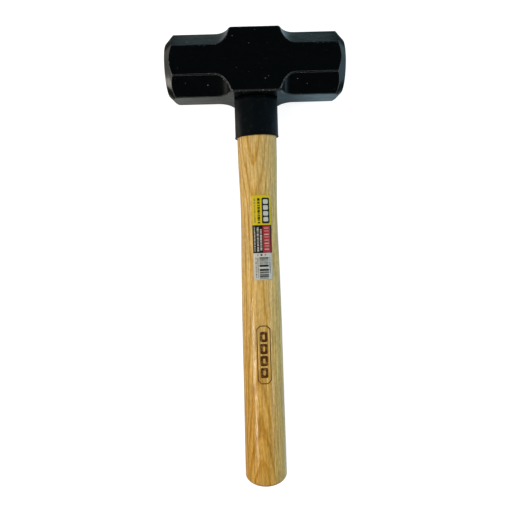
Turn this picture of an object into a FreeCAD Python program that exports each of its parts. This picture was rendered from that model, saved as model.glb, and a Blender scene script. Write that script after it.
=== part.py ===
"""Four-pound octagonal sledgehammer on a wedged ash handle, in millimetres.

The hammer lies on one cheek of its head.  +X runs along the head from one striking face to the
other, +Y along the handle from the butt towards the head, and +Z up through the two cheeks.
The origin is the middle of the lower cheek, under the centre of the eye.

The pieces, one node each:
  head                square bar with octagonal ends and an hourglass eye
  handle              oval ash handle: wedged tenon, waist, swelling grip, rounded butt
  collar              plastic sleeve that guards the handle under the head
  wood_wedge          hardwood wedge that fills the kerf and spreads the tenon
  steel_wedge_left    the two barbed steel wedges, driven across the wooden one
  steel_wedge_right
  label               thin sticker wrapped over the upper side of the handle
"""
import FreeCAD
import Part

import math
import os

from FreeCAD import Vector

# ---- Head: a square bar whose two ends are octagonal ----------------------------------------
OVERALL_LENGTH = 353.5      # top of the head to the end of the butt
HEAD_LENGTH = 134.6         # rim of one striking face to the rim of the other
HEAD_SQUARE = 46.9          # cheek to cheek, and top to underside
FLAT_WIDTH = 21.2           # each flat between two corner facets, at the ends
RUNOUT_START = 30.0         # from the eye's centre to where a corner facet starts to run out
RUNOUT_RADIUS = 11.9        # concave radius of the run-out
BLOCK_EDGE_RADIUS = 1.4     # long corners of the square block round the eye
SHOULDER_RADIUS = 4.0       # rounding where a run-out climbs onto one of those corners
SHOULDER_RELIEF = 0.5       # how far the crown of that rounding stands over the corner
EDGE_EASING = 0.5           # chamfer on its other edges, up to the turned ends
FACE_DIAMETER = 38.6        # rim of the turned striking face
BEVEL_ANGLE = 45.0          # bevel round the face, measured from the head's axis
FACE_CROWN = 0.5            # height of the domed face above its rim
RIM_RADIUS = 1.0            # rounding between face and bevel

# ---- Eye: an oval hole, narrow in the middle and flared towards both mouths -----------------
EYE_WIDTH = 26.8            # along the head, at the waist of the eye
EYE_DEPTH = 20.0            # from cheek to cheek, at the waist of the eye
EYE_FLARE = 1.0             # how far each mouth stands outside the waist, all round
EYE_LEAD_IN = 0.6           # chamfer at the upper mouth
EYE_CLEARANCE = 0.04        # glue line between the eye and what fills it

# ---- Handle: width is along the head, depth from cheek to cheek -----------------------------
TENON_RECESS = 0.4          # the tenon is dressed off just below the top of the head
HANDLE_SPANS = 14           # straight-sided rings that follow the smooth outline
HANDLE_PROFILE = [          # (width, depth) at even steps from the shoulder to the butt
    (30.7, 23.9),           # shoulder that bears on the head's underside
    (30.6, 24.0),
    (28.75, 22.7),          # waist, the thinnest place
    (30.35, 23.8),
    (31.6, 24.8),           # grip from here to the butt, swelling slowly
    (32.1, 25.3),
    (32.8, 25.9),
    (33.5, 26.5),
]
BUTT_DOME_RADIUS = 26.5     # gently domed end
BUTT_EDGE_RADIUS = 3.5

# ---- Kerf and wedges ------------------------------------------------------------------------
KERF_LENGTH = 36.0          # sawn down from the end of the tenon
KERF_WIDTH = 1.2            # the saw cut at its bottom
KERF_SPREAD = 4.8           # opened to this at the top by the wooden wedge
WOOD_WEDGE_LENGTH = 32.0
STEEL_WEDGE_LENGTH = 19.0
STEEL_WEDGE_WIDTH = 15.0    # across the wooden wedge
STEEL_WEDGE_THICK = 3.2     # at the driven end
STEEL_WEDGE_TIP = 0.8
STEEL_WEDGE_SPACING = 12.0  # centre to centre, along the head
STEEL_WEDGE_SUNK = 0.3      # below the end of the tenon
BARB_COUNT = 3              # steps up each side that keep the wedge from backing out
BARB_DEPTH = 0.35

# ---- Collar and label -----------------------------------------------------------------------
COLLAR_LENGTH = 29.6
COLLAR_WALL = 1.4
COLLAR_CLEARANCE = 0.03
LIP_HEIGHT = 1.4            # rolled lip round the collar's lower end
LIP_PROUD = 0.25
LABEL_BELOW_HEAD = 74.8     # from the head's underside to the near end of the label
LABEL_LENGTH = 65.6
LABEL_WIDTH = 14.5
LABEL_OFFSET = 1.8          # stuck on a little to one side
LABEL_THICK = 0.2
LABEL_GLUE = 0.02

# ---- Worked out from the above --------------------------------------------------------------
HALF_SQUARE = HEAD_SQUARE / 2
HALF_LENGTH = HEAD_LENGTH / 2
HEAD_TOP = HALF_SQUARE
UNDERSIDE = -HALF_SQUARE
BUTT = HEAD_TOP - OVERALL_LENGTH
TENON_TOP = HEAD_TOP - TENON_RECESS
FACET_DISTANCE = (HALF_SQUARE + FLAT_WIDTH / 2) / math.sqrt(2)
BLOCK_CORNER_DISTANCE = HALF_SQUARE * math.sqrt(2) - BLOCK_EDGE_RADIUS * (math.sqrt(2) - 1)
FACE_RADIUS = FACE_DIAMETER / 2
MARGIN = 10.0               # how far cutting solids reach past the work

# The work is done about the crossing of the head's and the handle's axes.
CENTRE = Vector(0, 0, 0)
ALONG_HEAD = Vector(1, 0, 0)
ALONG_HANDLE = Vector(0, 1, 0)
CHEEK_TO_CHEEK = Vector(0, 0, 1)
AXIS_HEIGHT = HALF_SQUARE   # and lifted by this at the end, onto the lower cheek


def eye_sections():
    """(y, width, depth) down the hourglass eye, carried on straight past both its mouths."""
    reach = HALF_SQUARE + MARGIN
    flare = 2 * EYE_FLARE * reach / HALF_SQUARE
    mouth = (EYE_WIDTH + flare, EYE_DEPTH + flare)
    return [(reach, *mouth), (0, EYE_WIDTH, EYE_DEPTH), (-reach, *mouth)]


def handle_sections():
    """(y, width, depth) down the handle, taken off a smooth curve through its profile."""
    step = (UNDERSIDE - BUTT) / (len(HANDLE_PROFILE) - 1)
    outline = Part.BSplineCurve()
    outline.interpolate([
        Vector(width / 2, UNDERSIDE - index * step, depth / 2)
        for index, (width, depth) in enumerate(HANDLE_PROFILE)
    ])
    return [(p.y, 2 * p.x, 2 * p.z) for p in outline.discretize(HANDLE_SPANS + 1)]


def oval_loft(sections, grown=0.0):
    """Straight-sided solid through (y, width, depth) sections, each grown outwards all round."""
    wires = []
    for y, width, depth in sections:
        middle = Vector(0, y, 0)
        width_end = middle + ALONG_HEAD * (width / 2 + grown)
        depth_end = middle + CHEEK_TO_CHEEK * (depth / 2 + grown)
        wires.append(Part.Wire(Part.Ellipse(width_end, depth_end, middle).toShape()))
    return Part.makeLoft(wires, True, True)


def handle_loft(grown=0.0):
    """Outside of the handle below the head, grown outwards all round."""
    return oval_loft(handle_sections(), grown)


def slab(top, bottom):
    """Wide block between two heights on the handle's axis."""
    size = HEAD_LENGTH
    return Part.makeBox(size, top - bottom, size, Vector(-size / 2, bottom, -size / 2))


def prism(points, reach):
    """Straight-sided outline, extruded by reach to both sides of its plane."""
    outline = Part.makePolygon([*points, points[0]])
    solid = Part.Face(outline).extrude(reach * 2)
    solid.translate(-reach)
    return solid


# ---- Head -----------------------------------------------------------------------------------
def runout_cutter():
    """What is ground off an upper corner towards +X: a flat facet, a run-out and a shoulder."""
    level = FACET_DISTANCE
    hollow = Vector(RUNOUT_START, 0, level + RUNOUT_RADIUS)
    crown_height = BLOCK_CORNER_DISTANCE + SHOULDER_RELIEF
    drop = hollow.z - (crown_height - SHOULDER_RADIUS)
    across = math.sqrt((RUNOUT_RADIUS + SHOULDER_RADIUS) ** 2 - drop ** 2)
    shoulder = hollow - Vector(across, 0, drop)
    steepest = math.atan2(drop, across)
    halfway = (steepest + math.pi / 2) / 2
    arc_start = Vector(RUNOUT_START, 0, level)
    arc_middle = hollow - Vector(math.cos(halfway), 0, math.sin(halfway)) * RUNOUT_RADIUS
    meeting = hollow - Vector(math.cos(steepest), 0, math.sin(steepest)) * RUNOUT_RADIUS
    over = shoulder + Vector(math.cos(halfway), 0, math.sin(halfway)) * SHOULDER_RADIUS
    crown = shoulder + Vector(0, 0, SHOULDER_RADIUS)
    far = Vector(HALF_LENGTH + 2 * MARGIN, 0, level)
    far_up = far + Vector(0, 0, RUNOUT_RADIUS + MARGIN)
    near_up = Vector(crown.x, 0, far_up.z)
    outline = Part.Wire([
        Part.makeLine(far, arc_start),
        Part.Arc(arc_start, arc_middle, meeting).toShape(),
        Part.Arc(meeting, over, crown).toShape(),
        Part.makeLine(crown, near_up),
        Part.makeLine(near_up, far_up),
        Part.makeLine(far_up, far),
    ])
    cutter = Part.Face(outline).extrude(Vector(0, 2 * HEAD_SQUARE, 0))
    cutter.translate(Vector(0, -HEAD_SQUARE, 0))
    return cutter


def faceted_bar():
    """Square bar, a little too long, with facets at both ends and all its edges eased."""
    length = HEAD_LENGTH + 2 * MARGIN
    bar = Part.makeBox(length, HEAD_SQUARE, HEAD_SQUARE,
                       Vector(-length / 2, -HALF_SQUARE, -HALF_SQUARE))
    long_edges = [edge for edge in bar.Edges if edge.Length > HEAD_SQUARE + MARGIN]
    bar = bar.makeFillet(BLOCK_EDGE_RADIUS, long_edges)
    cutters = []
    for corner in (45, 135, 225, 315):
        for end in (0, 180):
            cutter = runout_cutter()
            cutter.rotate(CENTRE, ALONG_HEAD, corner)
            cutter.rotate(CENTRE, ALONG_HANDLE, end)
            cutters.append(cutter)
    bar = bar.cut(cutters).Solids[0]
    eased = [edge for edge in bar.Edges if abs(edge.CenterOfMass.x) < HALF_LENGTH]
    return bar.makeChamfer(EDGE_EASING, eased)


def turned_envelope():
    """Both bevels and rims, turned about the head's axis, closed by two crowned faces."""
    bevel = math.radians(BEVEL_ANGLE)
    crown_radius = (FACE_RADIUS ** 2 + FACE_CROWN ** 2) / (2 * FACE_CROWN)
    crown_centre = Vector(HALF_LENGTH + FACE_CROWN - crown_radius, 0, 0)
    turn = math.pi / 2 - math.asin(FACE_RADIUS / crown_radius) - bevel
    reach = RIM_RADIUS * math.tan(turn / 2)
    rim_angle = math.asin((FACE_RADIUS - reach) / crown_radius)
    rim_start = crown_centre + Vector(math.cos(rim_angle), 0, math.sin(rim_angle)) * crown_radius
    corner = Vector(HALF_LENGTH, 0, FACE_RADIUS)
    rim_end = corner + Vector(-math.cos(bevel), 0, math.sin(bevel)) * reach
    rim_middle = corner + (rim_start + rim_end - corner * 2) * (0.5 / (1 + math.cos(turn / 2)))
    far_x = HALF_LENGTH + MARGIN
    bevel_end = rim_end + Vector(-1 / math.tan(bevel), 0, 1) * (HEAD_SQUARE - rim_end.z)
    outline = Part.Wire([
        Part.makeLine(CENTRE, Vector(far_x, 0, 0)),
        Part.makeLine(Vector(far_x, 0, 0), Vector(far_x, 0, rim_start.z)),
        Part.makeLine(Vector(far_x, 0, rim_start.z), rim_start),
        Part.Arc(rim_start, rim_middle, rim_end).toShape(),
        Part.makeLine(rim_end, bevel_end),
        Part.makeLine(bevel_end, Vector(0, 0, bevel_end.z)),
        Part.makeLine(Vector(0, 0, bevel_end.z), CENTRE),
    ])
    half = Part.Face(outline).revolve(CENTRE, ALONG_HEAD, 360)
    half = half.common(Part.makeSphere(crown_radius, crown_centre))
    return half.fuse(half.mirror(CENTRE, ALONG_HEAD)).removeSplitter()


def build_head():
    """Forging turned at both ends, with a flared eye that is chamfered at its upper mouth."""
    forging = faceted_bar().common(turned_envelope())
    mouth = (EYE_WIDTH + 2 * EYE_FLARE, EYE_DEPTH + 2 * EYE_FLARE)
    lead_in = oval_loft([
        (HEAD_TOP + EYE_LEAD_IN, *[size + 4 * EYE_LEAD_IN for size in mouth]),
        (HEAD_TOP - EYE_LEAD_IN, *mouth),
    ])
    return forging.cut([oval_loft(eye_sections()), lead_in])


# ---- Wedges ---------------------------------------------------------------------------------
def kerf(length):
    """The opened saw cut down to length below the tenon's end, right through its width."""
    slope = (KERF_SPREAD - KERF_WIDTH) / KERF_LENGTH
    top = TENON_TOP + MARGIN
    bottom = TENON_TOP - length
    half_top = (KERF_SPREAD + slope * MARGIN) / 2
    half_bottom = (KERF_SPREAD - slope * length) / 2
    outline = [Vector(0, top, half_top), Vector(0, top, -half_top),
               Vector(0, bottom, -half_bottom), Vector(0, bottom, half_bottom)]
    return prism(outline, ALONG_HEAD * EYE_WIDTH)


def tenon_blank():
    """What fills the eye before it is sawn: the eye's own shape less the glue line."""
    return oval_loft(eye_sections(), -EYE_CLEARANCE).common(slab(TENON_TOP, UNDERSIDE))


def steel_wedge(x):
    """Barbed steel wedge at x: thick at the driven end, stepped in along both sides."""
    top = TENON_TOP - STEEL_WEDGE_SUNK
    step = STEEL_WEDGE_LENGTH / (BARB_COUNT + 1)
    taper = (STEEL_WEDGE_THICK - STEEL_WEDGE_TIP) / 2 / STEEL_WEDGE_LENGTH
    side = [Vector(STEEL_WEDGE_THICK / 2, top, 0)]
    for barb in range(1, BARB_COUNT + 1):
        depth = barb * step
        half = STEEL_WEDGE_THICK / 2 - taper * depth
        side.append(Vector(half - BARB_DEPTH, top - depth, 0))
        side.append(Vector(half, top - depth, 0))
    side.append(Vector(STEEL_WEDGE_TIP / 2, top - STEEL_WEDGE_LENGTH, 0))
    other = [Vector(-point.x, point.y, 0) for point in reversed(side)]
    wedge = prism(side + other, CHEEK_TO_CHEEK * (STEEL_WEDGE_WIDTH / 2))
    wedge.translate(Vector(x, 0, 0))
    return wedge


def build_wood_wedge(steel_wedges):
    """Hardwood wedge trimmed to the eye, split by the steel wedges driven into it."""
    return tenon_blank().common(kerf(WOOD_WEDGE_LENGTH)).cut(steel_wedges)


# ---- Handle, collar and label ---------------------------------------------------------------
def build_handle(steel_wedges):
    """Tenon, shoulder, waist and grip in one piece of ash, with a domed butt."""
    dome_centre = Vector(0, BUTT + BUTT_DOME_RADIUS, 0)
    dome = Part.makeSphere(BUTT_DOME_RADIUS, dome_centre)
    shank = Part.makeCylinder(BUTT_DOME_RADIUS, OVERALL_LENGTH, dome_centre, ALONG_HANDLE)
    body = handle_loft().common(dome.fuse(shank))
    rim = [edge for edge in body.Edges if edge.BoundBox.YMax < BUTT + BUTT_DOME_RADIUS]
    body = body.makeFillet(BUTT_EDGE_RADIUS, rim)
    tenon = tenon_blank().cut(kerf(KERF_LENGTH))
    return body.fuse(tenon).cut(steel_wedges)


def build_collar():
    """Sleeve that follows the handle from the head's underside, with a lip at its lower end."""
    bottom = UNDERSIDE - COLLAR_LENGTH
    outside = COLLAR_CLEARANCE + COLLAR_WALL
    sleeve = handle_loft(outside).common(slab(UNDERSIDE, bottom))
    lip = handle_loft(outside + LIP_PROUD).common(slab(bottom + LIP_HEIGHT, bottom))
    return sleeve.fuse(lip).cut(handle_loft(COLLAR_CLEARANCE))


def build_label():
    """Oblong sticker, curved over the upper side of the handle."""
    far_end = UNDERSIDE - LABEL_BELOW_HEAD - LABEL_LENGTH
    patch = Part.makeBox(LABEL_WIDTH, LABEL_LENGTH, HEAD_SQUARE,
                         Vector(LABEL_OFFSET - LABEL_WIDTH / 2, far_end, 0))
    skin = handle_loft(LABEL_GLUE + LABEL_THICK).common(patch)
    return skin.cut(handle_loft(LABEL_GLUE))


def main():
    """Builds every piece, lifts it onto the lower cheek and writes it out."""
    steel_wedges = [steel_wedge(side * STEEL_WEDGE_SPACING / 2) for side in (-1, 1)]
    pieces = {
        "head": build_head(),
        "handle": build_handle(steel_wedges),
        "collar": build_collar(),
        "wood_wedge": build_wood_wedge(steel_wedges),
        "steel_wedge_left": steel_wedges[0],
        "steel_wedge_right": steel_wedges[1],
        "label": build_label(),
    }
    os.makedirs("parts", exist_ok=True)
    for name, shape in pieces.items():
        solid, = shape.Solids
        solid.translate(Vector(0, 0, AXIS_HEIGHT))
        if not solid.isValid():
            raise ValueError(f"{name} is not a valid solid")
        solid.exportStep(f"parts/{name}.step")
        print(f"{name}: {solid.Volume:.0f} mm3, {len(solid.Faces)} faces")


main()
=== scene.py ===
"""Dresses the frame of a four-pound octagonal sledgehammer on a wedged ash handle.

The forged head and the wooden wedge keep their solids and get their finishes here.  The
handle, the collar and the label are modelled again with smooth surfaces, and the two steel
wedges are copied a little higher, so that their driven ends show.
Lengths in the classes are millimetres; they become metres where a mesh is placed.
"""
import logging
import math
from abc import ABC, abstractmethod
from dataclasses import dataclass, field
from enum import Enum
from typing import ClassVar, Sequence

import bmesh
import bpy
from mathutils import Matrix, Vector


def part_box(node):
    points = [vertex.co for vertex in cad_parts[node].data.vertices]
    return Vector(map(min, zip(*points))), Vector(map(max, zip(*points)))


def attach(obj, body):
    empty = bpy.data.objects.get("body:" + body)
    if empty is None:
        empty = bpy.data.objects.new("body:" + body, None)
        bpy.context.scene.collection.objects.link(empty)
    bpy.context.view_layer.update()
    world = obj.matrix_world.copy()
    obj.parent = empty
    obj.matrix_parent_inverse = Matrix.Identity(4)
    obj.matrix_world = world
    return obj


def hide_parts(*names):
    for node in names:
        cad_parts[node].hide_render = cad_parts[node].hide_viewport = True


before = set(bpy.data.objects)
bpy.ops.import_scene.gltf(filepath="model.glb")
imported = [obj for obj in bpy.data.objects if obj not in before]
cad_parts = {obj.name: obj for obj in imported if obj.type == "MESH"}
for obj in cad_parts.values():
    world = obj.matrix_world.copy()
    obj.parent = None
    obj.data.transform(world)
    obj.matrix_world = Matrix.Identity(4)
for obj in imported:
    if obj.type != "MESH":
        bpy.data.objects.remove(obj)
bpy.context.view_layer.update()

LOG = logging.getLogger("sledgehammer")
MM = 0.001
NOISE_MIDDLE = (0.3, 0.7)
PURE_BLACK = (0.0, 0.0, 0.0, 1.0)
PURE_WHITE = (1.0, 1.0, 1.0, 1.0)
Colour = tuple[float, ...]
Span = tuple[float, float]
Mesh = bmesh.types.BMesh
Socket = bpy.types.NodeSocket
Sockets = bpy.types.bpy_prop_collection
Value = float | Sequence[float] | Socket


class Blend(Enum):
    """Ways to lay one colour over another."""

    OVER = "MIX"
    MULTIPLY = "MULTIPLY"


class Rounded(Enum):
    """What a bevel rounds."""

    EDGES = "EDGES"
    CORNERS = "VERTICES"


# ---- Shader graphs --------------------------------------------------------------------------
class Graph:
    """Adds nodes to one shader tree and joins them up."""

    def __init__(self, tree: bpy.types.NodeTree) -> None:
        """Empties the tree, so that the graph starts from nothing."""
        self.tree = tree
        tree.nodes.clear()

    def feed(self, socket: Socket, value: Value) -> None:
        """Gives a socket its value.

        Args:
            socket: The input to set.
            value: Another node's output, which is linked, or a plain number or colour.
        """
        if isinstance(value, Socket):
            self.tree.links.new(value, socket)
        else:
            socket.default_value = value

    def node(self, kind: str, inputs: dict[str | int, Value] | None = None,
             **settings: object) -> bpy.types.Node:
        """Adds one node.

        Args:
            kind: Blender's name for the node type.
            inputs: Values for its inputs, by name or by number.
            **settings: The node's own properties.

        Returns:
            The new node.
        """
        made = self.tree.nodes.new(kind)
        for name, setting in settings.items():
            setattr(made, name, setting)
        for name, value in (inputs or {}).items():
            self.feed(made.inputs[name], value)
        return made

    def math(self, operation: str, *values: Value) -> Socket:
        """Works out one number from one to three others."""
        return self.node("ShaderNodeMath", dict(enumerate(values)),
                         operation=operation).outputs[0]

    def vector(self, operation: str, *values: Value) -> Socket:
        """Works out one vector, or one number for LENGTH and DOT_PRODUCT, from others."""
        made = self.node("ShaderNodeVectorMath", dict(enumerate(values)), operation=operation)
        return made.outputs["Value" if operation in ("LENGTH", "DOT_PRODUCT") else "Vector"]

    def split(self, vector: Value) -> Sockets:
        """Takes a vector apart into X, Y and Z."""
        return self.node("ShaderNodeSeparateXYZ", {"Vector": vector}).outputs

    def join(self, x: Value, y: Value, z: Value = 0.0) -> Socket:
        """Puts a vector together from its three parts."""
        return self.node("ShaderNodeCombineXYZ", {"X": x, "Y": y, "Z": z}).outputs["Vector"]

    def product(self, *values: Value) -> Socket:
        """Multiplies two or more numbers or masks.

        Args:
            *values: What to multiply.

        Returns:
            Their product.
        """
        result = values[0]
        for value in values[1:]:
            result = self.math("MULTIPLY", result, value)
        return result

    def strongest(self, *masks: Socket) -> Socket:
        """Keeps the largest of several masks.

        Args:
            *masks: The masks.

        Returns:
            The largest at each point.
        """
        result = masks[0]
        for mask in masks[1:]:
            result = self.math("MAXIMUM", result, mask)
        return result

    def inverse(self, mask: Value) -> Socket:
        """Takes a mask from one."""
        return self.math("SUBTRACT", 1.0, mask)

    def spread(self, value: Value, low: Value, high: Value, to_low: Value = 0.0,
               to_high: Value = 1.0) -> Socket:
        """Eases a value from one range into another and holds it at both ends.

        Args:
            value: The number to change.
            low: Where the first range starts.
            high: Where the first range ends.
            to_low: What low becomes.
            to_high: What high becomes.

        Returns:
            The eased number.
        """
        return self.node("ShaderNodeMapRange", {
            "Value": value, "From Min": low, "From Max": high, "To Min": to_low, "To Max": to_high,
        }, interpolation_type="SMOOTHSTEP").outputs["Result"]

    def mix(self, factor: Value, first: Value, second: Value,
            blend: Blend = Blend.OVER) -> Socket:
        """Mixes two colours.

        Args:
            factor: How much of the second shows, from 0 to 1.
            first: The colour underneath.
            second: The colour on top.
            blend: The way they mix.

        Returns:
            The mixed colour.
        """
        made = self.node("ShaderNodeMix", data_type="RGBA", blend_type=blend.value)
        sockets = {socket.identifier: socket for socket in made.inputs}
        for name, value in (("Factor_Float", factor), ("A_Color", first), ("B_Color", second)):
            self.feed(sockets[name], value)
        return next(out for out in made.outputs if out.identifier == "Result_Color")

    def noise(self, place: Value, scale: float = 1.0, detail: float = 2.0,
              roughness: float = 0.5, stretch: Sequence[float] | None = None) -> Socket:
        """Adds cloudy noise.

        Args:
            place: Where the noise is read.
            scale: Waves per unit of place.
            detail: Number of finer layers.
            roughness: How strong the finer layers are.
            stretch: What the place is multiplied by first, along each axis.

        Returns:
            A number about one half, from 0 to 1.
        """
        if stretch is not None:
            place = self.vector("MULTIPLY", place, stretch)
        return self.node("ShaderNodeTexNoise", {
            "Vector": place, "Scale": scale, "Detail": detail, "Roughness": roughness,
        }).outputs["Fac"]

    def lot(self, number: Value) -> Socket:
        """Draws a number from 0 to 1 for each whole number."""
        return self.node("ShaderNodeTexWhiteNoise", {"W": number},
                         noise_dimensions="1D").outputs["Value"]

    def ramp(self, value: Value, stops: Sequence[tuple[float, Colour]]) -> Socket:
        """Turns a number into a colour by a list of stops.

        Args:
            value: The number.
            stops: Places from 0 to 1, and the colour at each.

        Returns:
            The colour.
        """
        made = self.node("ShaderNodeValToRGB", {"Fac": value})
        elements = made.color_ramp.elements
        while len(elements) < len(stops):
            elements.new(0.5)
        for element, (position, colour) in zip(elements, stops):
            element.position = position
            element.color = colour
        return made.outputs["Color"]

    def place(self, scale: Sequence[float] = (1.0, 1.0, 1.0),
              offset: Sequence[float] = (0.0, 0.0, 0.0),
              turn: Sequence[float] = (0.0, 0.0, 0.0)) -> Socket:
        """Reads the object's own coordinates in millimetres.

        Args:
            scale: Stretch along each axis, after the change to millimetres.
            offset: Added after the stretch.
            turn: Turn about each axis, in radians.

        Returns:
            The place as a vector.
        """
        return self.node("ShaderNodeMapping", {
            "Vector": self.node("ShaderNodeTexCoord").outputs["Object"],
            "Location": offset,
            "Rotation": turn,
            "Scale": [part / MM for part in scale],
        }).outputs["Vector"]

    def relief(self, height: Value, distance: float, over: Socket | None = None) -> Socket:
        """Adds relief from a height.

        Args:
            height: How high each point stands, from 0 to 1.
            distance: What a height of 1 is, in millimetres.
            over: A normal that this relief is laid over.

        Returns:
            The relief's normal.
        """
        below = {} if over is None else {"Normal": over}
        return self.node("ShaderNodeBump", {
            "Height": height, "Distance": distance * MM, **below}).outputs["Normal"]

    def use(self, group: bpy.types.NodeTree, **inputs: Value) -> Sockets:
        """Places a shared effect in this graph; underscores in names stand for spaces.

        Args:
            group: The effect's group.
            **inputs: Values for its inputs.

        Returns:
            Its outputs, by name.
        """
        made = self.node("ShaderNodeGroup", node_tree=group)
        for name, value in inputs.items():
            self.feed(made.inputs[name.replace("_", " ")], value)
        return made.outputs

    def rays(self) -> tuple[Socket, Socket]:
        """Masks what the camera sees, also through glass, and what mirrors see.

        Returns:
            Both masks, the camera's first.
        """
        path = self.node("ShaderNodeLightPath").outputs
        seen = self.strongest(path["Is Camera Ray"], path["Is Transmission Ray"])
        return seen, path["Is Glossy Ray"]


class Effect(Graph):
    """Graph of an effect that several finishes share, built once as a node group."""

    def __init__(self, name: str, **inputs: float | None) -> None:
        """Makes the empty group.

        Args:
            name: The group's name.
            **inputs: What each input is where nothing is given, or None for a vector;
                underscores in names stand for spaces.
        """
        super().__init__(bpy.data.node_groups.new(name, "ShaderNodeTree"))
        for key, default in inputs.items():
            socket = self.tree.interface.new_socket(
                key.replace("_", " "), in_out="INPUT",
                socket_type="NodeSocketVector" if default is None else "NodeSocketFloat")
            if default is not None:
                socket.default_value = default
        self.given = self.node("NodeGroupInput").outputs

    def finish(self, **outputs: Socket) -> bpy.types.NodeTree:
        """Joins up the group's outputs.

        Args:
            **outputs: What each output gives.

        Returns:
            The finished group.
        """
        for name in outputs:
            self.tree.interface.new_socket(name, in_out="OUTPUT", socket_type="NodeSocketFloat")
        self.node("NodeGroupOutput", outputs)
        return self.tree


def wood_grain() -> bpy.types.NodeTree:
    """Builds the grain of a ring-porous wood whose growth layers lie bowed along a piece.

    Returns:
        A group with Early (the porous part of each ring), Fibre, Flecks, Streaks (a few
        long pale ones), Pores and Cloud.
    """
    graph = Effect("Wood grain", Place=None, Ring_width=1.6, Bow=0.0, Bow_middle=0.0, Wander=1.2)
    given, slow = graph.given, (0.11, 0.018, 0.11)
    place = given["Place"]
    parts = graph.split(place)
    drift = graph.math("SUBTRACT", graph.noise(place, detail=3.0, stretch=slow), 0.5)
    ripple = graph.math("SUBTRACT", graph.noise(place, stretch=(0.9, 0.05, 0.9)), 0.5)
    from_middle = graph.math("SUBTRACT", parts["Y"], given["Bow middle"])
    bow = graph.product(from_middle, from_middle, given["Bow"])
    depth = graph.math("ADD", parts["Z"], bow)
    depth = graph.math("MULTIPLY_ADD", drift, given["Wander"], depth)
    depth = graph.math("MULTIPLY_ADD", ripple, 0.35, depth)
    count = graph.math("DIVIDE", depth, given["Ring width"])
    ring = graph.math("FRACT", count)
    year = graph.lot(graph.math("FLOOR", count))
    early = graph.product(graph.spread(ring, 0.0, 0.1), graph.spread(ring, 0.14, 0.50, 1.0, 0.0),
                          graph.spread(year, 0.0, 1.0, 0.55, 1.0))
    streak = graph.noise(place, stretch=(0.5, 0.004, 0.5))
    vessel = graph.noise(place, stretch=(3.4, 0.16, 3.4))
    return graph.finish(
        Early=early,
        Fibre=graph.noise(place, detail=4.0, roughness=0.6, stretch=(1.1, 0.035, 1.1)),
        Flecks=graph.noise(place, roughness=0.6, stretch=(0.8, 0.26, 0.8)),
        Streaks=graph.spread(streak, 0.60, 0.66),
        Pores=graph.product(graph.spread(vessel, 0.56, 0.68), early),
        Cloud=graph.noise(place, 0.7, detail=1.0, stretch=slow))


def chips() -> bpy.types.NodeTree:
    """Builds small scattered chips, each in its own cell.

    Returns:
        A group with Mask.
    """
    graph = Effect("Chips", Place=None, Per_mm=0.12, Radius=0.06, Rarity=0.6)
    given = graph.given
    warp = graph.node("ShaderNodeTexNoise", {"Vector": given["Place"], "Scale": 1.1})
    jitter = graph.vector("MULTIPLY", warp.outputs["Color"], (0.9, 0.9, 0.9))
    cells = graph.node("ShaderNodeTexVoronoi", {
        "Vector": graph.vector("ADD", given["Place"], jitter), "Scale": given["Per mm"],
    }).outputs
    chosen = graph.node("ShaderNodeSeparateColor", {"Color": cells["Color"]}).outputs
    kept = graph.math("GREATER_THAN", chosen["Red"], given["Rarity"])
    size = graph.product(given["Radius"], graph.spread(chosen["Green"], 0.0, 1.0, 0.35, 1.0))
    inside = graph.math("LESS_THAN", cells["Distance"], size)
    return graph.finish(Mask=graph.product(kept, inside))


def worn_edge() -> bpy.types.NodeTree:
    """Builds broken wear from a mask of how close an edge is.

    Returns:
        A group with Mask.
    """
    graph = Effect("Worn edge", Place=None, Edge=0.0, Wear=0.5)
    given = graph.given
    broken = graph.noise(given["Place"], 0.55, detail=4.0, roughness=0.65)
    start = graph.inverse(given["Wear"])
    amount = graph.spread(broken, start, graph.math("ADD", start, 0.08))
    return graph.finish(Mask=graph.product(amount, graph.spread(given["Edge"], 0.35, 0.7)))


def rubbed() -> bpy.types.NodeTree:
    """Builds the uneven sheen and the hairline scratches of a handled surface.

    Returns:
        A group with Sheen, about one half, and Scratches.
    """
    graph = Effect("Rubbed", Place=None, Patch_size=14.0, Scratch_reach=6.0)
    place, patch, reach = [graph.given[name] for name in ("Place", "Patch size", "Scratch reach")]
    patches = graph.vector("DIVIDE", place, graph.join(patch, patch, patch))
    lines: list[Socket] = []
    for turn in (0.5, -0.9, 1.7):
        turned = graph.node("ShaderNodeMapping", {
            "Vector": place, "Rotation": (turn, turn * 1.7, turn)}).outputs["Vector"]
        along = graph.vector("DIVIDE", turned, graph.join(reach, 0.22, reach))
        lines.append(graph.spread(graph.noise(along, detail=1.0), 0.735, 0.75))
    return graph.finish(Sheen=graph.noise(patches, detail=4.0, roughness=0.6),
                        Scratches=graph.strongest(*lines))


def bar() -> bpy.types.NodeTree:
    """Builds one printed or burnt bar: a rectangle with round corners.

    Returns:
        A group with Mask.
    """
    graph = Effect("Bar", Place=None, Middle=None, Half_size=None, Corner=0.3, Blur=0.08)
    given = graph.given
    from_middle = graph.vector("SUBTRACT", given["Place"], given["Middle"])
    flat = graph.vector("MULTIPLY", from_middle, (1.0, 1.0, 0.0))
    inner = graph.vector("SUBTRACT", given["Half size"],
                         graph.join(given["Corner"], given["Corner"]))
    beyond = graph.vector("SUBTRACT", graph.vector("ABSOLUTE", flat), inner)
    distance = graph.vector("LENGTH", graph.vector("MAXIMUM", beyond, (0.0, 0.0, 0.0)))
    outside = graph.math("SUBTRACT", distance, given["Corner"])
    soft = graph.math("MULTIPLY", given["Blur"], -1.0)
    return graph.finish(Mask=graph.spread(outside, soft, given["Blur"], 1.0, 0.0))


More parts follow.
